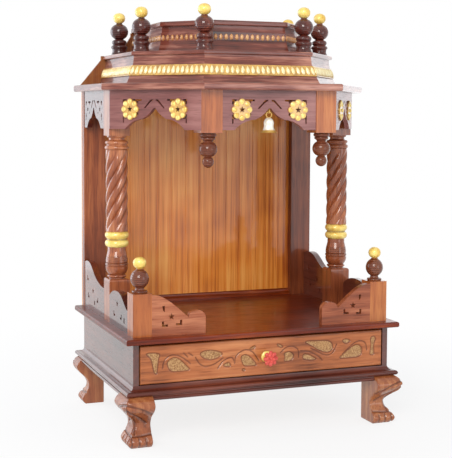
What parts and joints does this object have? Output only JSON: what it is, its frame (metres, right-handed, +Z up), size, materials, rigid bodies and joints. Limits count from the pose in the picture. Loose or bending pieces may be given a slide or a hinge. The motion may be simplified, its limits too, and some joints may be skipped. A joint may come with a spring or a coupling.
{
  "type": "pooja mandir",
  "caption": "Free-standing home temple: a drawer base on bowed legs, railed platform, rope-twist columns and a coved half-hexagon roof with finials.",
  "frame": {"origin": "on the floor, at the centre of the bounding box", "axes": "+Z up, -Y the front with the drawer, +X to the right"},
  "size_m": [0.6328, 0.471, 0.907],
  "materials": {
    "bell_brass": "polished pale brass",
    "drawer_wood": "satin carved hardwood",
    "gold_paint": "pale gold paint on wood",
    "hook_brass": "brass wire",
    "panel_wood": "glossy lacquer, upright grain",
    "plain_wood": "plain unlacquered board",
    "red_paint": "red paint on a carved wooden flower",
    "wood": "glossy lacquer on dark reddish hardwood"
  },
  "bodies": {
    "root": {"back_foot_moulding": "wood", "back_panel": "panel_wood", "back_stile_left": "wood", "back_stile_right": "wood", "bell_hook": "hook_brass", "canopy_board": "wood", "carved_band": "wood", "case_back": "plain_wood", "case_floor": "plain_wood", "case_side_left": "wood", "case_side_right": "wood", "column_left": "wood", "column_right": "wood", "finial_front_left": "wood", "finial_front_right": "wood", "finial_middle_left": "wood", "finial_middle_right": "wood", "finial_rear_left": "wood", "finial_rear_right": "wood", "front_post_left": "wood", "front_post_right": "wood", "front_rail_left": "wood", "front_rail_right": "wood", "gold_band": "gold_paint", "leg_front_left": "wood", "leg_front_right": "wood", "leg_rear_left": "wood", "leg_rear_right": "wood", "lower_cornice": "wood", "pendant_left": "wood", "pendant_right": "wood", "platform_board": "wood", "rosettes": "gold_paint", "side_rail_front_left": "wood", "side_rail_front_right": "wood", "side_rail_rear_left": "wood", "side_rail_rear_right": "wood", "skirt_front": "wood", "skirt_left": "wood", "skirt_rear": "wood", "skirt_right": "wood", "top_board": "wood", "upper_board": "wood", "upper_cornice": "wood", "valance_front": "wood", "valance_front_left": "wood", "valance_front_right": "wood", "valance_side_left": "wood", "valance_side_right": "wood"},
    "drawer": {"drawer_back": "plain_wood", "drawer_bottom": "plain_wood", "drawer_front": "drawer_wood", "drawer_side_left": "plain_wood", "drawer_side_right": "plain_wood", "knob_face": "red_paint", "knob_stem": "gold_paint"},
    "bell": {"bell": "bell_brass", "bell_clapper": "bell_brass"}
  },
  "joints": [
    {"name": "drawer_slide", "type": "slide", "parent": "root", "child": "drawer", "axis": [0, -1, 0], "range_m": [0, 0.25]},
    {"name": "bell_swing", "type": "hinge", "parent": "root", "child": "bell", "pos_m": [0, -0.202, 0.678], "axis": [0, 1, 0], "range_deg": [-35, 35]}
  ]
}
